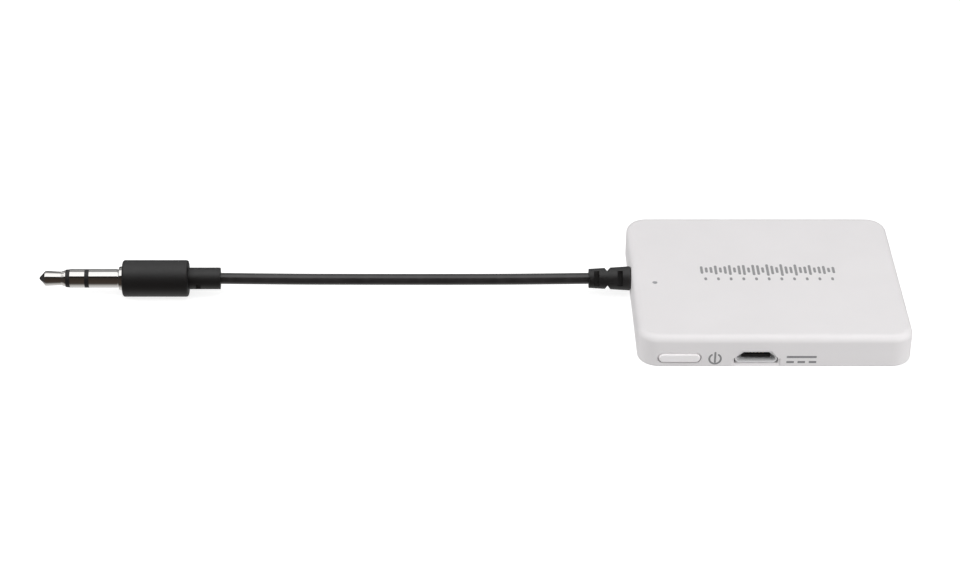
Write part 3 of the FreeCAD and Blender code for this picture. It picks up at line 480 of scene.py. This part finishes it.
def make_sound_mark(material):
    """A row of upright bars whose heights swell and fade like a sound, over a row of short ticks."""
    middle = 0.5 * MM
    bars_at = 1.75 * MM
    ticks_at = -1.35 * MM

    def upright(x, y, height):
        return stroke([(x, y - height / 2), (x, y + height / 2)], SOUND_STROKE)

    strokes = []
    for i in range(BAR_COUNT):
        step = i - (BAR_COUNT - 1) / 2
        swell = math.cos(step / (BAR_COUNT - 1) * SWELL)
        flutter = 1 - FLUTTER_SHARE + FLUTTER_SHARE * math.cos(i * FLUTTER)
        strokes.append(upright(middle + step * BAR_PITCH, bars_at, BAR_LOWEST + BAR_RISE * swell * flutter))
    for i in range(TICK_COUNT):
        step = i - (TICK_COUNT - 1) / 2
        strokes.append(upright(middle + step * TICK_PITCH, ticks_at, TICK_HEIGHT))
    ink("sound_mark", strokes, on_top, material)


# ---- floor and light ---------------------------------------------------------------------------------

FLOOR_SIZE = 6.0
FLOOR_PAINT = (0.6, 0.6, 0.6, 1)
FLOOR_GLOW = 0.75


def make_floor():
    """A pale table top. Only the camera sees it, because the world stands for it in the object's light."""
    bpy.ops.mesh.primitive_plane_add(size=FLOOR_SIZE, location=(0, 0, 0))
    floor = bpy.context.object
    floor.name = "floor"
    floor.visible_glossy = False
    floor.visible_diffuse = False
    shade = Shade("pale_floor", Roughness=0.6)
    shade.shader.inputs["Base Color"].default_value = FLOOR_PAINT
    shade.shader.inputs["Emission Color"].default_value = (1, 1, 1, 1)
    shade.shader.inputs["Emission Strength"].default_value = FLOOR_GLOW
    floor.data.materials.append(shade.material)


# What glossy surfaces show above the horizon: a dark room with a bright soft ceiling and a bright strip
# behind it. The stops are (degrees round the X axis from the front horizon, colour).
BRIGHTEST = 1.3
CEILING = (BRIGHTEST, BRIGHTEST, BRIGHTEST)
ROOM = (
    (0, (0.05, 0.038, 0.03)),
    (36, (0.036, 0.028, 0.023)),
    (52, (0.004, 0.004, 0.004)),
    (56, (0.02, 0.02, 0.02)),
    (61, CEILING),
    (116, (1.2, 1.2, 1.2)),
    (123, (0.3, 0.3, 0.3)),
    (140, (0.25, 0.25, 0.25)),
    (147, (1.1, 1.1, 1.1)),
    (155, (1.1, 1.1, 1.1)),
    (162, (0.1, 0.1, 0.1)),
    (180, (0.03, 0.03, 0.03)),
)

# What they show below it, with the same kind of stops: a pale table.
TABLE = (
    (0, (0.05, 0.038, 0.03)),
    (33, (0.06, 0.048, 0.04)),
    (40, (0.09, 0.083, 0.075)),
    (52, (0.25, 0.24, 0.23)),
    (71, (0.55, 0.54, 0.53)),
    (95, (0.7, 0.7, 0.7)),
    (148, (0.6, 0.6, 0.6)),
    (160, (0.05, 0.05, 0.05)),
    (180, (0.03, 0.03, 0.03)),
)

# The room and the table fade into dark sides where a direction leans this far to the left or right.
ROOM_SIDES = (0.62, 0.82)
DARK_SIDES = (0.03, 0.03, 0.03, 1)

# What lights matt surfaces: even light from above, a little less from the table, and a soft change between.
LIGHT_ABOVE = 0.63
LIGHT_BELOW = 0.58
HORIZON_BLUR = 0.15

# The sockets of a Mix node that take two colours and give their mixture.
MIX_COLOURS = (6, 7)
MIX_RESULT = 2


class World:
    """The nodes of the studio's surroundings."""

    def __init__(self):
        world = bpy.data.worlds.new("studio")
        bpy.context.scene.world = world
        world.use_nodes = True
        self.nodes = world.node_tree.nodes
        self.links = world.node_tree.links

    def feed(self, node, socket, value):
        """Links another node's output to a socket, or sets the socket to a plain value."""
        if isinstance(value, bpy.types.NodeSocket):
            self.links.new(value, node.inputs[socket])
        else:
            node.inputs[socket].default_value = value

    def maths(self, operation, *values):
        """The result of a Math node."""
        node = self.nodes.new("ShaderNodeMath")
        node.operation = operation
        for i, value in enumerate(values):
            self.feed(node, i, value)
        return node.outputs[0]

    def band(self, value, low, high, start, stop):
        """A number that goes from start to stop as a value goes from low to high."""
        node = self.nodes.new("ShaderNodeMapRange")
        self.feed(node, "Value", value)
        self.feed(node, "From Min", low)
        self.feed(node, "From Max", high)
        self.feed(node, "To Min", start)
        self.feed(node, "To Max", stop)
        return node.outputs["Result"]

    def ramp(self, half_turns, stops):
        """A colour, as a share of the brightest, that follows an angle through (degrees, colour) stops."""
        shares = [(degrees / 180, [channel / BRIGHTEST for channel in colour]) for degrees, colour in stops]
        node = ramp_node(self.nodes, shares)
        self.feed(node, "Fac", half_turns)
        return node.outputs["Color"]

    def mix(self, factor, first, second):
        """A colour that goes from the first to the second with a factor."""
        node = self.nodes.new("ShaderNodeMix")
        node.data_type = "RGBA"
        self.feed(node, "Factor", factor)
        self.feed(node, MIX_COLOURS[0], first)
        self.feed(node, MIX_COLOURS[1], second)
        return node.outputs[MIX_RESULT]


def make_world():
    """The room and the table for glossy rays, and even light for all others."""
    world = World()
    direction = world.nodes.new("ShaderNodeTexCoord").outputs["Generated"]
    split = world.nodes.new("ShaderNodeSeparateXYZ")
    world.feed(split, "Vector", direction)
    aside, away, up = split.outputs
    toward = world.maths("MULTIPLY", away, -1.0)
    halves = []
    for sign, stops in ((1.0, ROOM), (-1.0, TABLE)):
        turn = world.maths("ARCTAN2", world.maths("MULTIPLY", up, sign), toward)
        halves.append(world.ramp(world.maths("DIVIDE", turn, math.pi), stops))
    room, table = halves
    above = world.maths("GREATER_THAN", up, 0.0)
    lean = world.band(world.maths("ABSOLUTE", aside), *ROOM_SIDES, 0.0, 1.0)
    shown = world.mix(lean, world.mix(above, table, room), DARK_SIDES)
    glossy = world.nodes["Background"]
    world.feed(glossy, "Color", shown)
    world.feed(glossy, "Strength", BRIGHTEST)
    even = world.nodes.new("ShaderNodeBackground")
    world.feed(even, "Strength", world.band(up, -HORIZON_BLUR, HORIZON_BLUR, LIGHT_BELOW, LIGHT_ABOVE))
    chooser = world.nodes.new("ShaderNodeMixShader")
    rays = world.nodes.new("ShaderNodeLightPath")
    world.feed(chooser, "Fac", rays.outputs["Is Glossy Ray"])
    world.feed(chooser, 1, even.outputs["Background"])
    world.feed(chooser, 2, glossy.outputs["Background"])
    world.links.new(chooser.outputs["Shader"], world.nodes["World Output"].inputs["Surface"])


def soft_light(name, place, size, power):
    """A soft box aimed at the box's middle, with no reflection of its own."""
    light = bpy.data.lights.new(name, "AREA")
    light.shape = "RECTANGLE"
    light.size = size[0]
    light.size_y = size[1]
    light.energy = power
    holder = bpy.data.objects.new(name, light)
    holder.location = place
    holder.visible_glossy = False
    aim = -Vector(place)
    holder.rotation_euler = aim.to_track_quat("-Z", "Y").to_euler()
    bpy.context.scene.collection.objects.link(holder)


def make_lights():
    soft_light("softbox_above", place=(-0.1, -0.2, 0.85), size=(0.8, 0.5), power=1.6)
    soft_light("softbox_right", place=(0.32, -0.2, 0.13), size=(0.2, 0.2), power=0.72)
    soft_light("softbox_left", place=(-0.6, -0.12, 0.28), size=(0.4, 0.4), power=1.6)


# ---- whole -------------------------------------------------------------------------------------------

make_display()
make_camera()
materials = make_materials()
make_lead(materials)
paint_frame(materials)
make_marks()
make_floor()
make_world()
make_lights()
